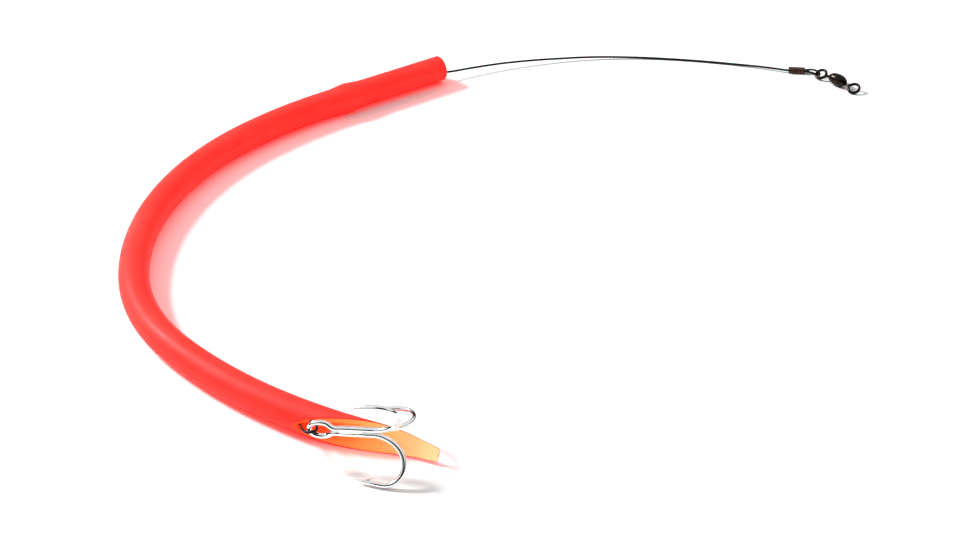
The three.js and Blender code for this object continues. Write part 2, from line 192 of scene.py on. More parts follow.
# ---- materials ------------------------------------------------------------------------------------
class Look:
    """A procedural material around one Principled shader."""

    def __init__(self, name, **values):
        self.material = bpy.data.materials.new(name)
        self.material.use_nodes = True
        self.tree = self.material.node_tree
        self.shader = self.tree.nodes["Principled BSDF"]
        for socket, value in values.items():
            self.shader.inputs[socket.replace("_", " ")].default_value = value

    def node(self, kind, inputs=(), **settings):
        made = self.tree.nodes.new(kind)
        for key, value in settings.items():
            setattr(made, key, value)
        for socket, value in dict(inputs).items():
            if isinstance(value, bpy.types.NodeSocket):
                self.tree.links.new(value, made.inputs[socket])
            else:
                made.inputs[socket].default_value = value
        return made

    def wrapped(self, round_scale, along_scale):
        """The place round and along the piece, each scaled, for patterns that run along it."""
        place = self.node("ShaderNodeUVMap", uv_map="Wrap").outputs[0]
        scale = (round_scale, along_scale, 1)
        return self.node("ShaderNodeMapping", {"Vector": place, "Scale": scale}).outputs[0]

    def in_space(self, scale=1.0):
        place = self.node("ShaderNodeTexCoord").outputs["Object"]
        return self.node("ShaderNodeMapping", {"Vector": place, "Scale": (scale,) * 3}).outputs[0]

    def noise(self, place, scale, detail=3.0, roughness=0.55):
        inputs = {"Vector": place, "Scale": scale, "Detail": detail, "Roughness": roughness}
        return self.node("ShaderNodeTexNoise", inputs).outputs["Fac"]

    def ramp(self, factor, *stops):
        made = self.node("ShaderNodeValToRGB", {"Fac": factor})
        band = made.color_ramp
        while len(band.elements) < len(stops):
            band.elements.new(0.5)
        for element, (place, color) in zip(band.elements, stops):
            element.position = place
            element.color = (*color, 1)
        return made.outputs["Color"]

    def between(self, factor, low, high, from_low=0.0, from_high=1.0):
        inputs = {
            "Value": factor, "From Min": from_low, "From Max": from_high, "To Min": low, "To Max": high,
        }
        return self.node("ShaderNodeMapRange", inputs).outputs["Result"]

    def math(self, operation, a, b):
        made = self.node("ShaderNodeMath", operation=operation)
        for socket, value in zip(made.inputs, (a, b)):
            if isinstance(value, bpy.types.NodeSocket):
                self.tree.links.new(value, socket)
            else:
                socket.default_value = value
        return made.outputs[0]

    def attribute(self, name):
        return self.node("ShaderNodeAttribute", attribute_name=name).outputs["Fac"]

    def set(self, socket, value):
        self.tree.links.new(value, self.shader.inputs[socket])

    def bump(self, height, distance, strength=0.5):
        inputs = {"Height": height, "Distance": distance, "Strength": strength}
        self.set("Normal", self.node("ShaderNodeBump", inputs).outputs[0])


def rubber_outside():
    """Fluorescent red latex: even, faintly streaked along the tube by its dipping, and lit by a painted
    glow.
    """
    look = Look(
        "rubber_outside", Roughness=0.5, Subsurface_Weight=0.35, Subsurface_Scale=0.002,
        Subsurface_Radius=(1.0, 0.25, 0.15), Specular_IOR_Level=0.12, IOR=1.5,
        # The emission is a painted glow: it stands in for fluorescence and light through the wall, and
        # lifts the shaded side.
        Emission_Color=(1.0, 0.030, 0.024, 1), Emission_Strength=0.5,
    )
    streaks = look.noise(look.wrapped(14, 60), 1.0, 4.0, 0.6)
    clouds = look.noise(look.in_space(55), 1.0, 2.0)
    mixed = look.math("ADD", look.math("MULTIPLY", streaks, 0.6), look.math("MULTIPLY", clouds, 0.4))
    look.set("Base Color", look.ramp(
        mixed, (0.36, (0.88, 0.020, 0.015)), (0.5, (0.95, 0.028, 0.021)), (0.66, (1.0, 0.042, 0.033)),
    ))
    look.set("Roughness", look.between(streaks, 0.42, 0.6, 0.3, 0.7))
    look.bump(mixed, 0.0003, 0.25)
    return look.material


def rubber_inside():
    """The bore and the cut faces, with painted light: paler, more orange and glowing where more light
    comes through the wall, and painted shade deep in the bore.
    """
    look = Look(
        "rubber_inside", Roughness=0.55, Subsurface_Weight=0.3, Subsurface_Scale=0.002,
        Subsurface_Radius=(1.0, 0.45, 0.2), Specular_IOR_Level=0.12, IOR=1.5,
        Emission_Strength=0.42,
    )
    grain = look.noise(look.in_space(420), 1.0, 3.0)
    clouds = look.noise(look.in_space(120), 1.0, 2.0)
    # painted_light_share paints light and shade by place: dark deep in the bore, pale towards the tip;
    # the clouds add random tone.
    painted_light_share = look.attribute("painted_light_share")
    tone_and_painted_light = look.math("MULTIPLY_ADD", clouds, 0.16)
    look.tree.links.new(look.math("SUBTRACT", painted_light_share, 0.08), tone_and_painted_light.node.inputs[2])
    look.set("Base Color", look.ramp(
        tone_and_painted_light,
        (0.0, (0.80, 0.060, 0.012)), (0.25, (0.92, 0.19, 0.035)), (0.55, (0.95, 0.37, 0.09)),
        (0.8, (0.97, 0.50, 0.20)), (1.0, (1.0, 0.62, 0.30)),
    ))
    # The emission is a painted glow of light through the wall, following the same share.
    look.set("Emission Color", look.ramp(
        tone_and_painted_light, (0.0, (1.0, 0.08, 0.015)), (0.3, (1.0, 0.26, 0.06)), (0.6, (1.0, 0.48, 0.15)),
        (1.0, (1.0, 0.66, 0.32)),
    ))
    look.set("Roughness", look.between(grain, 0.48, 0.66))
    look.bump(grain, 0.0001, 0.3)
    return look.material


def bright_tin():
    """Polished tinned steel wire, with fine draw lines along it."""
    look = Look("bright_tin", Metallic=1.0)
    lines = look.noise(look.wrapped(30, 120), 1.0, 3.0)
    clouds = look.noise(look.in_space(700), 1.0, 3.0)
    look.set("Base Color", look.ramp(
        clouds, (0.3, (0.88, 0.89, 0.90)), (0.55, (0.95, 0.955, 0.96)), (0.75, (0.90, 0.89, 0.86)),
    ))
    look.set("Roughness", look.between(lines, 0.05, 0.16, 0.3, 0.7))
    look.bump(lines, 0.00002, 0.25)
    return look.material


def braze_metal():
    """Tinned braze: bright but lumpy, with small pits."""
    look = Look("braze_metal", Metallic=1.0)
    lumps = look.noise(look.in_space(1500), 1.0, 4.0, 0.65)
    pits = look.noise(look.in_space(3200), 1.0, 2.0)
    look.set("Base Color", look.ramp(
        pits, (0.28, (0.42, 0.38, 0.31)), (0.36, (0.88, 0.87, 0.82)), (0.7, (0.95, 0.95, 0.93)),
    ))
    look.set("Roughness", look.between(lumps, 0.12, 0.38, 0.3, 0.7))
    look.bump(lumps, 0.00008, 0.5)
    return look.material


def black_nickel():
    look = Look("black_nickel", Metallic=1.0)
    wear = look.noise(look.in_space(900), 1.0, 4.0, 0.6)
    look.set("Base Color", look.ramp(
        wear, (0.35, (0.012, 0.010, 0.009)), (0.6, (0.028, 0.023, 0.019)),
        (0.78, (0.085, 0.058, 0.036)),
    ))
    look.set("Roughness", look.between(wear, 0.14, 0.34, 0.3, 0.75))
    look.bump(wear, 0.00003, 0.2)
    return look.material


def dark_copper():
    look = Look("dark_copper", Metallic=0.85)
    tarnish = look.noise(look.in_space(1100), 1.0, 4.0, 0.6)
    look.set("Base Color", look.ramp(
        tarnish, (0.3, (0.030, 0.017, 0.014)), (0.55, (0.085, 0.044, 0.032)),
        (0.8, (0.17, 0.090, 0.060)),
    ))
    look.set("Roughness", look.between(tarnish, 0.28, 0.5, 0.3, 0.7))
    look.bump(tarnish, 0.00005, 0.3)
    return look.material


def nylon_cable():
    """A black nylon coat over stranded wire."""
    look = Look("nylon_cable", Specular_IOR_Level=0.2)
    scuffs = look.noise(look.wrapped(6, 900), 1.0, 3.0)
    look.set("Base Color", look.ramp(
        scuffs, (0.35, (0.003, 0.003, 0.003)), (0.6, (0.007, 0.007, 0.008)),
        (0.8, (0.020, 0.019, 0.018)),
    ))
    look.set("Roughness", look.between(scuffs, 0.3, 0.5, 0.3, 0.7))
    look.bump(scuffs, 0.00002, 0.2)
    return look.material


def cast_lead():
    look = Look("cast_lead", Metallic=0.9)
    grain = look.noise(look.in_space(800), 1.0, 5.0, 0.6)
    look.set("Base Color", look.ramp(grain, (0.3, (0.12, 0.125, 0.13)), (0.7, (0.34, 0.35, 0.37))))
    look.set("Roughness", look.between(grain, 0.4, 0.7, 0.3, 0.7))
    look.bump(grain, 0.0001, 0.4)
    return look.material


def table_white():
    look = Look("table_white", Roughness=0.7, Specular_IOR_Level=0.1)
    grain = look.noise(look.in_space(200), 1.0, 2.0)
    look.set("Base Color", look.ramp(grain, (0.4, (0.93, 0.93, 0.935)), (0.6, (0.95, 0.95, 0.95))))
    return look.material


# ---- camera ---------------------------------------------------------------------------------------
def make_camera():
    data = bpy.data.cameras.new("camera")
    data.sensor_width = 36.0
    data.lens = 71.0
    data.clip_start, data.clip_end = 0.01, 20
    camera = bpy.data.objects.new("camera", data)
    camera.location = (0.064, -0.5186, 0.32675)
    camera.rotation_euler = (math.radians(57), 0, 0)
    bpy.context.scene.collection.objects.link(camera)
    bpy.context.scene.camera = camera


# ---- leader cable ---------------------------------------------------------------------------------
CABLE_R = 0.0004
STRANDS = 6
STRAND_PITCH = 0.0075  # length of one turn of the strands under the coat
CORE = {"from": 0.0055, "to": 0.2517}  # the leader inside the tube, as distances from the head
FREE_ROUTE = [
    (0.0420, 0.1136, 0.0043), (0.0456, 0.1157, 0.0035), (0.0494, 0.1172, 0.0030),
    (0.0570, 0.1209, 0.0026), (0.0681, 0.1254, 0.0022), (0.0756, 0.1278, 0.0019),
    (0.0831, 0.1298, 0.0016), (0.0906, 0.1314, 0.0013), (0.0981, 0.1327, 0.0011),
    (0.1057, 0.1335, 0.0009), (0.1132, 0.1338, 0.0007), (0.1207, 0.1337, 0.00055),
    (0.1282, 0.1331, 0.00048), (0.1356, 0.1322, 0.00044), (0.1430, 0.1310, 0.00044),
    (0.1504, 0.1295, 0.00048), (0.1576, 0.1278, 0.00055), (0.1649, 0.1258, 0.00075),
    (0.1704, 0.1239, 0.0009), (0.1749, 0.12235, 0.00095), (0.1768, 0.12212, 0.00095),
]


def cable_radius(along, angles):
    """The coat shows the strands under it as shallow ridges that wind round."""
    wind = 2 * math.pi * along / STRAND_PITCH
    return CABLE_R * (0.965 + 0.035 * np.cos(STRANDS * (angles - wind)))


def cable_piece(name, line, body, materials, node):
    skin = Skin()
    skin.tube(line, cable_radius, sides=24)
    return skin.make(name, body, materials, [node])


# ---- crimp sleeves --------------------------------------------------------------------------------
SLEEVE = {"length": 0.006, "wide": 0.00295, "high": 0.0019, "wall": 0.00032, "lane": 0.00052}
CRIMPS = ((-0.0015, 0.00013), (0.0015, 0.00013))  # where the pliers pressed it, and how deep


class Sleeve:
    def __init__(self, centre, heading):
        self.centre = centre
        self.axis = turned(heading)
        self.across = vec(-self.axis[1], self.axis[0], 0)

    def lane(self, along, lane):
        """A point in one of its two lanes. lane is -1 or 1."""
        return self.centre + self.axis * along + self.across * lane * SLEEVE["lane"]


def oval(wide, high, steps=10):
    """The outline of a flat-sided oval, as (across, up) pairs."""
    r = high / 2
    flat = wide / 2 - r
    turns = np.radians(np.linspace(-90, 90, steps))
    end = np.stack([flat + r * np.cos(turns), r * np.sin(turns)], axis=1)
    return np.vstack([end, -end])


def sleeve_piece(name, sleeve, body, materials, node):
    skin = Skin()
    half = SLEEVE["length"] / 2
    edge = 0.00012
    wall = SLEEVE["wall"]

    def ring(along, grow):
        pressed = sum(deep * math.exp(-((along - at) / 0.0007) ** 2) for at, deep in CRIMPS)
        outline = oval(SLEEVE["wide"] + 2 * grow + pressed, SLEEVE["high"] + 2 * grow - pressed)
        return [
            sleeve.centre + sleeve.axis * along + sleeve.across * x + vec(0, 0, y) for x, y in outline
        ]

    outside = [ring(a, 0) for a in np.linspace(-half + edge, half - edge, 33)]
    inside = [ring(a, -wall) for a in np.linspace(half - edge, -half + edge, 33)]
    lip_out = [ring(half - edge * 0.3, -edge * 0.3), ring(half, -edge)]
    lip_in = [ring(half, -wall + edge), ring(half - edge * 0.3, -wall + edge * 0.3)]
    back_in = [ring(-half + edge * 0.3, -wall + edge * 0.3), ring(-half, -wall + edge)]
    back_out = [ring(-half, -edge), ring(-half + edge * 0.3, -edge * 0.3)]
    rows = [*outside, *lip_out, *lip_in, *inside, *back_in, *back_out, outside[0]]
    skin.grid(rows, closed=True)
    return skin.make(name, body, materials, [node])


# ---- barrel swivel --------------------------------------------------------------------------------
SWIVEL_CENTRE = vec(0.1916, 0.1123, 0.00225)
SWIVEL_AXIS = turned(-46.9)
BARREL = {"half": 0.0034, "r": 0.0022, "cavity": 0.0016, "cavity_half": 0.0025, "hole": 0.00098}
RING = {"centre": 0.0076, "r": 0.00195, "wire": 0.00053, "lean": 60}
EYE_DIP = {"at": 0.0017, "rear": 5, "front": 7}  # where each head is held, and the eyes' droop
RING_HEAD = {"r": 0.00125, "from": 0.0012, "to": 0.0021}
swivel_side = vec(-SWIVEL_AXIS[1], SWIVEL_AXIS[0], 0)
ring_lean = vec(0, 0, 1) * math.cos(math.radians(RING["lean"])) + swivel_side * math.sin(
    math.radians(RING["lean"])
)


def eye_frame(side):
    """Forwards along an eye, up its ring's slope, square to its ring, and where it's measured from."""
    dip = math.radians(EYE_DIP["rear" if side < 0 else "front"])
    forward = SWIVEL_AXIS * math.cos(dip) + vec(0, 0, -side * math.sin(dip))
    slope = unit(ring_lean - forward * ring_lean.dot(forward))
    origin = SWIVEL_CENTRE + (SWIVEL_AXIS - forward) * side * EYE_DIP["at"]
    return forward, slope, np.cross(forward, slope), origin


def turned_profile(skin, profile, origin, axis, across, sides=48, slot=0):
    """A closed outline of (radius, along) pairs turned round an axis."""
    other = np.cross(axis, across)
    angles = np.arange(sides) * 2 * math.pi / sides
    spokes = across * np.cos(angles)[:, None] + other * np.sin(angles)[:, None]
    rows = [origin + axis * along + spokes * r for r, along in profile]
    skin.grid(rows, slot, closed=True)


def swivel_barrel(materials):
    half, r, hole = BARREL["half"], BARREL["r"], BARREL["hole"]
    cavity, cavity_half = BARREL["cavity"], BARREL["cavity_half"]
    turns = np.radians(np.linspace(-62, 62, 41))
    belly = [
        (r * math.cos(t) ** 0.7, half * 0.94 * math.sin(t) / math.sin(turns[-1])) for t in turns
    ]
    lip = 0.0001
    profile = [
        (hole, -half + lip), (hole + lip, -half), (belly[0][0] - lip, -half), *belly,
        (belly[-1][0] - lip, half), (hole + lip, half), (hole, half - lip), (hole, cavity_half),
        (cavity, cavity_half), (cavity, -cavity_half), (hole, -cavity_half), (hole, -half + lip),
    ]
    skin = Skin()
    turned_profile(skin, profile, SWIVEL_CENTRE, SWIVEL_AXIS, ring_lean)
    return skin.make("swivel_barrel_body", "swivel_middle", materials, ["swivel_barrel"])


# Where an eye's wire ends come together: half the distance between them, and how far they run on.
NECK = {"apart": 0.0002, "closed": 0.00012, "tail": 0.0006}
STEM_SWELL = {"share": 0.35, "over": 0.0008}  # the stem thickens into the closed wire ends


def swivel_eye(name, side, body, materials, node):
    """A ring of wire whose two ends close into one stem, with a head that turns in the barrel."""
    skin = Skin()
    centre, r, wire = RING["centre"], RING["r"], RING["wire"]
    forward, slope, _, origin = eye_frame(side)
    axis = forward * side

    def at(along, out):
        return origin + axis * along + slope * out

    arc = [at(centre + r * math.cos(t), r * math.sin(t)) for t in np.radians(np.arange(-148, 149, 8))]
    neck = centre - r * 1.2
    tail = neck - NECK["tail"]
    apart, closed = NECK["apart"], NECK["closed"]
    line = [at(tail, -closed), at(neck, -apart), *arc, at(neck, apart), at(tail, closed)]
    skin.tube(smooth_line(line, 0.00018), wire, sides=20)
    stem = [at(a, 0) for a in np.arange(RING_HEAD["from"] + 0.0003, centre - r + 0.0002, 0.0002)]
    swell = neck - RING_HEAD["from"] - 0.0003

    def stem_radius(along, angles):
        closing = np.clip((along - swell + STEM_SWELL["over"]) / STEM_SWELL["over"], 0, 1)
        return wire * (1 + STEM_SWELL["share"] * closing) + 0 * angles

    skin.tube(np.array(stem), stem_radius, sides=20)
    low, high, head = RING_HEAD["from"], RING_HEAD["to"], RING_HEAD["r"]
    turned_profile(skin, [
        (0.00001, low), (head * 0.8, low), (head, low + 0.0002), (head, high - 0.0002),
        (head * 0.85, high), (0.00001, high),
    ], origin, axis, slope, sides=24)
    return skin.make(name, body, materials, [node])


def front_loop_line(sleeve):
    forward, _, square, origin = eye_frame(-1)
    wire = origin - forward * (RING["centre"] + RING["r"])

    def at(along, out):
        return wire + forward * along + square * out

    return smooth_line([
        sleeve.lane(-0.0009, -1), sleeve.lane(0.0016, -1), sleeve.lane(0.0032, -1),
        at(-0.0019, -0.00105), at(-0.0004, -0.00123), at(0.00085, -0.00082), at(0.00127, 0),
        at(0.00085, 0.00082), at(-0.0004, 0.00123), at(-0.0019, 0.00105),
        sleeve.lane(0.0032, 1), sleeve.lane(0.0016, 1), sleeve.lane(-0.0026, 1),
    ], 0.0002)


# ---- rubber tube ----------------------------------------------------------------------------------
TUBE_R = 0.00475
BORE_R = 0.003175
HEAD = vec(0.0462, 0.11655)
HEAD_HEADING = 215.3
# The centreline from head to tail, as tangent arcs: (length, turn in degrees).
BENDS = (
    (0.048, 0), (0.039, 15.2), (0.045, 23.9), (0.045, 23.8), (0.045, 33.1), (0.040, 14.7),
    (0.030, 9.7), (0.021, -4.8),
)
TUBE_LENGTH = sum(length for length, _ in BENDS)
# The tail's bevel: (distance past its start, how far the cut stands from the tube's axis).
BEVEL_START = 0.2722
BEVEL = (
    (-0.0008, 0.0054), (0, 0.00475), (0.002, 0.0043), (0.005, 0.0034), (0.010, 0.0022), (0.018, 0.0001),
    (0.028, -0.00265), (0.035, -0.0038), (0.042, -0.0044),
)
BEVEL_TILT = (-5, 27)  # the way the cut faces at its two ends: degrees up from level
EDGE = {"outer": 0.00028, "inner": 0.00013}  # rounding of the cut's edges
END_ROUND = 0.0004  # rounding of the head's outer edge
BULGE = {"at": 0.0401, "spread": 0.0040, "rise": 0.0006}  # the weight's thick end swells the tube
HEAD_SLIM = {"from": 0.037, "to": 0.043, "by": 0.0002}  # the head is stretched slim, and off the table
WIRE_PRESS = {"from": 0.268, "peak": 0.2745, "to": 0.288, "deep": 0.0012}  # thin near wall at the mouth


def station(distance):
    """Place and heading of the centreline at a distance from the head."""
    x, y = HEAD
    heading = math.radians(HEAD_HEADING)
    left = distance
    for index, (length, turn) in enumerate(BENDS):
        run = left if index == len(BENDS) - 1 else min(left, length)
        turned_by = math.radians(turn) * run / length
        chord = run if abs(turned_by) < 1e-9 else 2 * run * math.sin(turned_by / 2) / turned_by
        x += chord * math.cos(heading + turned_by / 2)
        y += chord * math.sin(heading + turned_by / 2)
        heading += turned_by
        left -= run
        if left <= 0:
            break
    return x, y, heading


def beside(distance, side, height=TUBE_R):
    """A point beside the centreline: side is positive on the outside of the C."""
    x, y, heading = station(distance)
    return vec(x + side * math.sin(heading), y - side * math.cos(heading), height)


def bevel_side(distance):
    return float(np.interp(distance - BEVEL_START, *zip(*BEVEL)))


def pressed_bore(distance):
    """The bore's reach towards the cut, where the hook's wires press its wall thin."""
    press = WIRE_PRESS
    share = np.interp(distance, (press["from"], press["peak"], press["to"]), (0, 1, 0))
    return BORE_R + press["deep"] * float(share * share * (3 - 2 * share))


def where(function, low, high):
    """The distance between low and high where a falling function passes zero."""
    for _ in range(50):
        middle = (low + high) / 2
        low, high = (middle, high) if function(middle) > 0 else (low, middle)
    return (low + high) / 2


def bezier(a, corner, b, steps=4):
    t = np.linspace(0, 1, steps)[:, None]
    return (1 - t) ** 2 * a + 2 * t * (1 - t) * corner + t**2 * b


class TubeSection:
    """The tube's section at one distance, in (towards the cut, across it) coordinates."""

    COLUMNS = 72

    def __init__(self, distance):
        self.distance = distance
        first, last = BEVEL_START + BEVEL[0][0], BEVEL_START + BEVEL[-1][0]
        share = min(max((distance - first) / (last - first), 0), 1)
        self.tilt = math.radians(BEVEL_TILT[0] + (BEVEL_TILT[1] - BEVEL_TILT[0]) * share)
        self.side = bevel_side(distance) if distance > first else 1.0
        self.bore = pressed_bore(distance)
        from_bulge = (distance - BULGE["at"]) / BULGE["spread"]
        self.outer = TUBE_R + BULGE["rise"] * math.exp(-(from_bulge**2))
        slim = float(np.interp(distance, (HEAD_SLIM["from"], HEAD_SLIM["to"]), (1, 0)))
        self.lift = HEAD_SLIM["by"] * slim * slim * (3 - 2 * slim)
        self.outer -= self.lift
        close = max(0.0, END_ROUND - distance)
        self.outer -= END_ROUND - math.sqrt(END_ROUND**2 - close**2)
        self.bore += 0.4 * (END_ROUND - math.sqrt(END_ROUND**2 - close**2))
        self.half_cut = math.sqrt(max(0.0, self.outer**2 - self.side**2))
        inside = -BORE_R < self.side < self.bore
        self.half_mouth = self.mouth() if inside else 0.0
        width = self.half_cut - self.half_mouth
        self.round_out = min(EDGE["outer"], 0.4 * width)
        self.round_in = min(EDGE["inner"], 0.25 * width, 0.5 * self.half_mouth)

    def bore_at(self, angle):
        return BORE_R + (self.bore - BORE_R) * max(0.0, math.cos(angle)) ** 2

    def mouth(self):
        """Half the width of the opening, where the cut meets the bore."""
        angle = math.acos(min(1, self.side / self.bore))
        for _ in range(12):
            angle = math.acos(max(-1, min(1, self.side / self.bore_at(angle))))
        return self.bore_at(angle) * math.sin(angle)

    def place(self, points):
        """Points of the section in the frame."""
        cos, sin = math.cos(self.tilt), math.sin(self.tilt)
        placed = [
            beside(self.distance, out * cos - up * sin, TUBE_R + self.lift + out * sin + up * cos)
            for out, up in points
        ]
        return [vec(x, y, max(z, 0)) for x, y, z in placed]

    def outer_wall(self):
        start = 0.0
        if self.half_cut:
            start = math.atan2(self.half_cut, self.side) + self.round_out / self.outer
        angles = np.linspace(start, 2 * math.pi - start, self.COLUMNS + 1)
        return self.place([(self.outer * math.cos(a), self.outer * math.sin(a)) for a in angles])

    def inner_wall(self):
        start = 0.0
        if self.half_mouth:
            start = math.atan2(self.half_mouth, self.side) + self.round_in / BORE_R
        angles = np.linspace(start, 2 * math.pi - start, self.COLUMNS + 1)
        if self.side <= -BORE_R:
            angles = np.full(self.COLUMNS + 1, math.pi)
        radii = [self.bore_at(a) for a in angles]
        return self.place([(r * math.cos(a), r * math.sin(a)) for r, a in zip(radii, angles)])

    def rim(self, sign):
        """From the end of the outer wall over the cut face to the end of the inner wall."""
        side, cut, mouth = self.side, self.half_cut, self.half_mouth
        around = math.atan2(cut, side) + self.round_out / self.outer
        outer_end = vec(math.cos(around), math.sin(around)) * self.outer
        out = bezier(outer_end, vec(side, cut), vec(side, cut - self.round_out))
        face = vec(side, 0) + np.linspace(0, 1, 5)[1:-1, None] * vec(0, mouth + self.round_in)
        face[:, 1] = np.interp(
            [0.25, 0.5, 0.75], [0, 1], [cut - self.round_out, mouth + self.round_in]
        )
        if mouth:
            within = math.atan2(mouth, side) + self.round_in / BORE_R
            inner_end = vec(math.cos(within), math.sin(within)) * self.bore_at(within)
            back = bezier(vec(side, mouth + self.round_in), vec(side, mouth), inner_end)
        else:
            back = np.repeat([vec(side, 0)], 4, axis=0)
        points = np.vstack([out, face, back])
        points[:, 1] *= sign
        return self.place(points)


OUTER_SKIN = 4  # points of a rim that are the rounded edge, still in the outer red


def tube_distances(opens, splits, shuts):
    near_head = [0, 0.00005, 0.00012, 0.00022, 0.0004, 0.0008]
    body = np.linspace(0.0015, BEVEL_START - 0.004, 230)
    tail = np.linspace(BEVEL_START - 0.0035, TUBE_LENGTH, 110)
    return sorted({*near_head, *body, *tail, opens, splits, shuts})


def rubber_tube(materials):
    opens = where(lambda d: bevel_side(d) - TUBE_R, BEVEL_START - 0.0008, TUBE_LENGTH)
    splits = where(lambda d: bevel_side(d) - pressed_bore(d), opens, TUBE_LENGTH)
    shuts = where(lambda d: bevel_side(d) + BORE_R, splits, TUBE_LENGTH)
    sections = [TubeSection(d) for d in tube_distances(opens, splits, shuts)]
    skin = Skin()

    def wraps(chosen, low, high):
        count = TubeSection.COLUMNS
        shares = [low + (high - low) * j / count for j in range(count + 1)]
        return [[(share, s.distance) for share in shares] for s in chosen]

    skin.grid([s.outer_wall() for s in sections], 0, wraps(sections, 0, 1))
    bored = [s for s in sections if s.distance <= shuts]
    skin.grid([s.inner_wall() for s in bored], 1, wraps(bored, 0, 0.6))
    cut = [s for s in sections if s.distance >= opens]
    for sign in (1, -1):
        rows = np.array([s.rim(sign) for s in cut])
        rim_wraps = [[(0.9 + j * 0.01, s.distance) for j in range(rows.shape[1])] for s in cut]
        skin.grid(rows[:, :OUTER_SKIN], 0, rim_wraps)
        skin.grid(rows[:, OUTER_SKIN - 1:], 1, rim_wraps)
    head = sections[0]
    skin.grid([head.outer_wall(), head.inner_wall()], 1, wraps([head, head], 0, 1))
    tip = sections[-1]
    skin.fan([*tip.outer_wall(), *reversed(tip.rim(-1)[:-1]), *tip.rim(1)][::-1], 1)
    piece = skin.make("rubber_tube", "lure", materials, ["tube_body"], weld=2e-6, sharp=60)
    shade_opening(piece, splits)
    return piece


def shade_opening(piece, splits):
    """Marks each vertex with its share of painted light, by its place along the mouth: 0 deep in the
    bore, 1 at the tip.
    """
    marks = np.array([beside(d, 0)[:2] for d in np.linspace(splits, TUBE_LENGTH, 60)])
    co = np.array([v.co for v in piece.data.vertices])
    nearest = np.argmin(((co[:, None, :2] - marks[None]) ** 2).sum(2), axis=1)
    share = nearest / (len(marks) - 1)
    attribute = piece.data.attributes.new("painted_light_share", "FLOAT", "POINT")
    attribute.data.foreach_set("value", share.astype(np.float32))


# ---- lead weight ----------------------------------------------------------------------------------
SINKER = {"start": 0.007, "length": 0.041, "r": 0.00285, "nose": 0.0015, "bore": 0.0008}


def head_weight(materials):
    length, r, nose, bore = (SINKER[key] for key in ("length", "r", "nose", "bore"))
    shares = np.linspace(0, 1, 40)
    shape = np.interp(shares, [0, 0.12, 0.4, 0.75, 0.9, 1], [nose / r, 0.72, 0.92, 1, 1, nose / r])
    skin_line = [(r * s, length * a) for s, a in zip(shape, shares)]
    profile = [(bore, 0), *skin_line, (bore, length), (bore, 0)]
    skin = Skin()
    axis = turned(HEAD_HEADING)
    turned_profile(skin, profile, beside(SINKER["start"], 0), axis, vec(0, 0, 1), sides=32)
    return skin.make("head_weight", "lure", materials, ["head_sinker"])


# ---- treble hook ----------------------------------------------------------------------------------
HOOK_WIRE_R = 0.00075
EYE = vec(0.0189, -0.1075, 0.0105)
SHANK = {"azimuth": -11, "elevation": 4.8}
HOOK_ROLL = 52.1
# One hook's wire, seen from the side: (distance from the eye along the shank, distance out from it).
HOOK = (
    (0.013, 0), (0.0162, 0.00012), (0.0199, 0.0016), (0.0224, 0.004), (0.0235, 0.0071), (0.023, 0.0101),
    (0.0211, 0.0124), (0.0189, 0.01315), (0.0168, 0.013), (0.0148, 0.0127),
)
HOOK_POINT = 0.0049  # length of the ground point past the wire
GRIND = 0.0062  # length over which the wire tapers to the tip
BARB = {"root": (0.0121, 0.0122), "tip": (0.0166, 0.0112)}
BUNDLE = {"double": 0.00087, "single": 0.00117}
HOOK_ANGLES = {"front": -90, "upper": 27, "rear": 153}
EYE_LOOP = {"centre": -0.0003, "half_length": 0.0029, "half_width": 0.00205, "neck": 0.0036}
# The eye's outline, in half lengths along it and half widths across.
EYE_OUTLINE = (
    (0.66, -0.9), (0, -1), (-0.7, -0.72), (-1, 0), (-0.7, 0.72), (0, 1), (0.66, 0.9),
)
BRAZE = {"from": 0.0046, "length": 0.0079}
# How far the braze lies under the hull of the wires: all along, and thinning out at its two ends.
BRAZE_THIN = {"all": 0.00010, "start": (0.10, 0.0006), "end": (0.72, 0.0007), "lumps": 0.00009}

shank_level = turned(SHANK["azimuth"])
shank_axis = shank_level * math.cos(math.radians(SHANK["elevation"])) + vec(
    0, 0, math.sin(math.radians(SHANK["elevation"]))
)
hook_roll = vec(0, math.cos(math.radians(HOOK_ROLL)), math.sin(math.radians(HOOK_ROLL)))
hook_up = unit(hook_roll - shank_axis * hook_roll.dot(shank_axis))
hook_side = np.cross(shank_axis, hook_up)


def outward(degrees):
    angle = math.radians(degrees)
    return hook_side * math.cos(angle) + hook_up * math.sin(angle)


def on_hook(degrees, along, out):
    return EYE + shank_axis * along + outward(degrees) * out


def hook_line(degrees, offset):
    line = [on_hook(degrees, along, out + offset) for along, out in HOOK]
    way = unit(line[-1] - line[-2])
    return [*line, line[-1] + way * HOOK_POINT * 0.5, line[-1] + way * HOOK_POINT]


def ground_point(length, both_ends):
    """The wire's radius along it: full, then ground to a needle at the tip."""

    def radius(along, angles):
        left = length - along
        if both_ends:
            left = np.minimum(left, along)
        share = np.clip(left / GRIND, 0, 1)
        return HOOK_WIRE_R * np.maximum(0.03, 1 - (1 - share) ** 1.7) + 0 * angles

    return radius


def add_barb(skin, degrees, offset):
    """The sliver that is cut up from the wire behind the point."""
    (root_along, root_out), (tip_along, tip_out) = BARB["root"], BARB["tip"]
    root = on_hook(degrees, root_along, root_out + offset + 0.0004)
    tip = on_hook(degrees, tip_along, tip_out + offset)
    way = unit(tip - root)
    flat = unit(np.cross(way, np.cross(outward(degrees), way)))
    side = np.cross(way, flat)
    turns = np.arange(12) * math.pi / 6
    rows = []
    for share in np.linspace(0, 1, 14):
        wide = 0.00052 * (1 - share) ** 0.8 + 0.00002
        high = 0.00034 * (1 - share) ** 0.9 + 0.00002
        middle = root + (tip - root) * share - flat * 0.0002 * math.sin(math.pi * share)
        rows.append([middle + side * wide * math.cos(t) + flat * high * math.sin(t) for t in turns])
    skin.grid(rows, closed=True)
    skin.fan(rows[0])
    skin.fan(rows[-1])


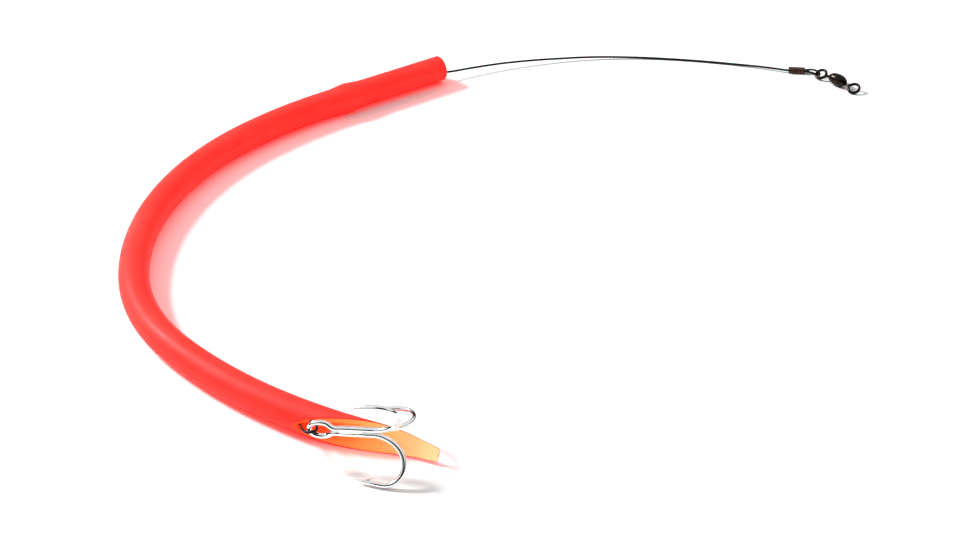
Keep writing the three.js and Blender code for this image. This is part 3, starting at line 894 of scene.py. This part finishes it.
def double_hook(materials):
    """One wire that makes two hooks and the eye between them."""
    front, upper = HOOK_ANGLES["front"], HOOK_ANGLES["upper"]
    apart = unit(outward(upper) - outward(front))
    offset = BUNDLE["double"]
    centre, half_length = EYE_LOOP["centre"], EYE_LOOP["half_length"]
    ring = [
        EYE + shank_axis * (centre + along * half_length) + apart * out * EYE_LOOP["half_width"]
        for along, out in EYE_OUTLINE
    ]

    def shank(degrees):
        return [on_hook(degrees, along, offset) for along in (EYE_LOOP["neck"], 0.0065, 0.010)]

    line = smooth_line([
        *reversed(hook_line(front, offset)), *reversed(shank(front)), *ring,
        *shank(upper), *hook_line(upper, offset),
    ], 0.00028)
    skin = Skin()
    skin.tube(line, ground_point(distances(line)[-1], True), sides=28)
    add_barb(skin, front, offset)
    add_barb(skin, upper, offset)
    return skin.make("double_hook", "treble", materials, ["treble_double_hook"])


def single_hook(materials):
    rear = HOOK_ANGLES["rear"]
    offset = BUNDLE["single"]
    shank = [on_hook(rear, along, offset) for along in (0.0044, 0.008)]
    line = smooth_line([*shank, *hook_line(rear, offset)], 0.00028)
    skin = Skin()
    grind = ground_point(distances(line)[-1], False)

    def radius(along, angles):
        """The cut end of the shank is rounded off."""
        close = np.clip(1 - along / 0.0005, 0, 1)
        return grind(along, angles) * np.sqrt(1 - 0.75 * close**2)

    skin.tube(line, radius, sides=28)
    add_barb(skin, rear, offset)
    return skin.make("single_hook", "treble", materials, ["treble_single_hook"])


def shank_braze(materials):
    """Metal run round the three shanks: it fills the grooves and thins out to nothing at its ends."""
    wires = [(HOOK_ANGLES[key], BUNDLE[kind]) for key, kind in (
        ("front", "double"), ("upper", "double"), ("rear", "single"),
    )]
    turns = np.arange(16) * math.pi / 8
    circles = [
        Vector((
            out * math.cos(math.radians(a)) + HOOK_WIRE_R * math.cos(t),
            out * math.sin(math.radians(a)) + HOOK_WIRE_R * math.sin(t),
        ))
        for a, out in wires for t in turns
    ]
    hull = [np.array(circles[i]) for i in convex_hull_2d(circles)]
    angles = np.arange(60) * 2 * math.pi / 60

    def reach(angle):
        """How far the hull of the three wires reaches in one direction."""
        way = vec(math.cos(angle), math.sin(angle))
        found = 0.0
        for a, b in zip(hull, hull[1:] + hull[:1]):
            system = np.array([way, a - b]).T
            if abs(np.linalg.det(system)) < 1e-15:
                continue
            far, share = np.linalg.solve(system, a)
            if -1e-9 <= share <= 1 + 1e-9:
                found = max(found, far)
        return found

    reaches = np.array([reach(a) for a in angles])
    (start, start_by), (end, end_by) = BRAZE_THIN["start"], BRAZE_THIN["end"]
    rows = []
    for share in np.linspace(0, 1, 60):
        along = BRAZE["from"] + BRAZE["length"] * share
        begins = max(0, start - share) / start
        ends = max(0, share - end) / (1 - end)
        thin = BRAZE_THIN["all"] + start_by * begins**2 + end_by * ends**2
        ring = []
        for angle, far in zip(angles, reaches):
            lump = noise(Vector((math.cos(angle) * 1.6, math.sin(angle) * 1.6, share * 9)))
            r = far - thin + BRAZE_THIN["lumps"] * lump
            way = hook_side * math.cos(angle) + hook_up * math.sin(angle)
            ring.append(EYE + shank_axis * along + way * r)
        rows.append(ring)
    skin = Skin()
    skin.grid(rows, closed=True)
    skin.fan(rows[0])
    skin.fan(rows[-1])
    return skin.make("shank_braze", "treble", materials, ["treble_braze"])


def rear_loop_line(sleeve):
    """Out of the rear sleeve, out of the tube's mouth, round the hook's eye and back."""
    return smooth_line([
        sleeve.lane(-0.0009, -1), sleeve.lane(0.0016, -1), sleeve.lane(0.0032, -1),
        beside(0.262, 0.0007, 0.0045), beside(0.269, 0.0017, 0.0043), vec(0.0122, -0.0981, 0.0050),
        vec(0.0131, -0.1021, 0.0071), vec(0.0139, -0.1062, 0.0093), vec(0.0156, -0.10845, 0.0101),
        vec(0.0177, -0.1079, 0.0105), vec(0.0177, -0.1058, 0.0103), vec(0.0161, -0.1015, 0.0081),
        vec(0.0142, -0.0973, 0.0059), beside(0.269, 0.0007, 0.0053), beside(0.262, -0.0003, 0.0049),
        sleeve.lane(0.0032, 1), sleeve.lane(0.0016, 1), sleeve.lane(-0.0009, 1),
    ], 0.0002)


# ---- stage ----------------------------------------------------------------------------------------
def make_floor():
    mesh = bpy.data.meshes.new("table_top")
    reach = 4.0
    corners = [(-reach, -reach, 0), (reach, -reach, 0), (reach, reach, 0), (-reach, reach, 0)]
    mesh.from_pydata(corners, [], [(0, 1, 2, 3)])
    mesh.materials.append(table_white())
    floor = bpy.data.objects.new("table_top", mesh)
    bpy.context.scene.collection.objects.link(floor)
    return floor


KEY = {"heading": 152, "elevation": 38, "away": 2.6, "size": 0.6, "watts": 98}
# The studio's brightness: dark from the horizon up to a height, and in one patch in front.
SKY = 0.82
HORIZON = {"top": (0.26, 0.40), "value": 0.02}
PATCH = {"elevation": 30, "edge": (0.74, 0.90), "value": 0.03}


def key_light(name, color):
    data = bpy.data.lights.new(name, "AREA")
    data.shape = "DISK"
    data.size = KEY["size"]
    data.energy = KEY["watts"]
    data.color = color
    key = bpy.data.objects.new(name, data)
    rise = math.radians(KEY["elevation"])
    way = Vector(turned(KEY["heading"]) * math.cos(rise) + vec(0, 0, math.sin(rise)))
    key.location = way * KEY["away"]
    key.rotation_euler = way.to_track_quat("Z", "Y").to_euler()
    bpy.context.scene.collection.objects.link(key)
    return key


def linked(name, *pieces, state="INCLUDE"):
    """A collection that takes pieces into a light's linking, or out of it."""
    collection = bpy.data.collections.new(name)
    for piece in pieces:
        collection.objects.link(piece)
    for member in collection.collection_objects:
        member.light_linking.link_state = state
    return collection


def make_sky():
    world = bpy.data.worlds.new("studio")
    bpy.context.scene.world = world
    world.use_nodes = True
    tree = world.node_tree
    place = tree.nodes.new("ShaderNodeTexCoord").outputs["Generated"]
    split = tree.nodes.new("ShaderNodeSeparateXYZ")
    tree.links.new(place, split.inputs[0])
    facing = tree.nodes.new("ShaderNodeVectorMath")
    facing.operation = "DOT_PRODUCT"
    rise = math.radians(PATCH["elevation"])
    facing.inputs[1].default_value = (0, -math.cos(rise), math.sin(rise))
    tree.links.new(place, facing.inputs[0])
    both = tree.nodes.new("ShaderNodeMath")
    both.operation = "MULTIPLY"
    bands = (
        (split.outputs["Z"], HORIZON["top"], (HORIZON["value"], 1)),
        (facing.outputs["Value"], PATCH["edge"], (1, PATCH["value"])),
    )
    for socket, (source, edge, values) in zip(both.inputs, bands):
        ramp = tree.nodes.new("ShaderNodeMapRange")
        ramp.interpolation_type = "SMOOTHSTEP"
        tree.links.new(source, ramp.inputs["Value"])
        for name, value in zip(("From Min", "From Max", "To Min", "To Max"), (*edge, *values)):
            ramp.inputs[name].default_value = value
        tree.links.new(ramp.outputs["Result"], socket)
    strength = tree.nodes.new("ShaderNodeMath")
    strength.operation = "MULTIPLY"
    strength.inputs[1].default_value = SKY
    tree.links.new(both.outputs[0], strength.inputs[0])
    background = tree.nodes["Background"]
    background.inputs["Color"].default_value = (1, 1, 1, 1)
    tree.links.new(strength.outputs[0], background.inputs["Strength"])


def make_lights(red_rubber, floor):
    """A soft white key light from behind on the left, under a white sky.

    The rubber lets red light through, so its shadow is pink: on the rubber and the floor, the key is a
    red and a blue-green light in one place, and the rubber doesn't stop the red one."""
    metals = key_light("key_on_metal", (1, 1, 1))
    metals.light_linking.receiver_collection = linked("not_metal", red_rubber, floor, state="EXCLUDE")
    red = key_light("key_red", (1, 0, 0))
    blue_green = key_light("key_blue_green", (0, 1, 1))
    for key in (red, blue_green):
        key.light_linking.receiver_collection = linked(key.name + "_on", red_rubber, floor)
    red.light_linking.blocker_collection = linked("red_passes", red_rubber, state="EXCLUDE")
    make_sky()
    bpy.context.scene.view_settings.view_transform = "Standard"


# ---- the lure -------------------------------------------------------------------------------------
make_camera()
front_sleeve = Sleeve(vec(0.1781, 0.1225, 0.00095), -6)
rear_x, rear_y, rear_heading = station(0.253)
rear_sleeve = Sleeve(vec(rear_x, rear_y, TUBE_R), math.degrees(rear_heading))

cable = [nylon_cable()]
free_line = smooth_line(FREE_ROUTE, 0.0005)
leader = cable_piece("leader", free_line, "lure", cable, "leader_cable")
copper = [dark_copper()]
nickel = [black_nickel()]
on_leader = [
    sleeve_piece("crimp_sleeve_front", front_sleeve, "lure", copper, "front_sleeve"),
    cable_piece("leader_front_loop", front_loop_line(front_sleeve), "lure", cable, "front_loop"),
    swivel_eye("swivel_eye_rear", -1, "swivel_rear", nickel, "swivel_rear_eye"),
    swivel_barrel(nickel),
    swivel_eye("swivel_eye_front", 1, "swivel_front", nickel, "swivel_front_eye"),
]

core_marks = np.arange(CORE["from"], CORE["to"], 0.001)
core_line = np.array([beside(d, 0) for d in core_marks])
cable_piece("leader_in_tube", core_line, "lure", cable, "leader_core")
sleeve_piece("crimp_sleeve_rear", rear_sleeve, "lure", copper, "rear_sleeve")
cable_piece("leader_rear_loop", rear_loop_line(rear_sleeve), "lure", cable, "rear_loop")

tube = rubber_tube([rubber_outside(), rubber_inside()])
head_weight([cast_lead()])
tin = [bright_tin()]
double_hook(tin)
single_hook(tin)
shank_braze([braze_metal()])

make_lights(tube, make_floor())
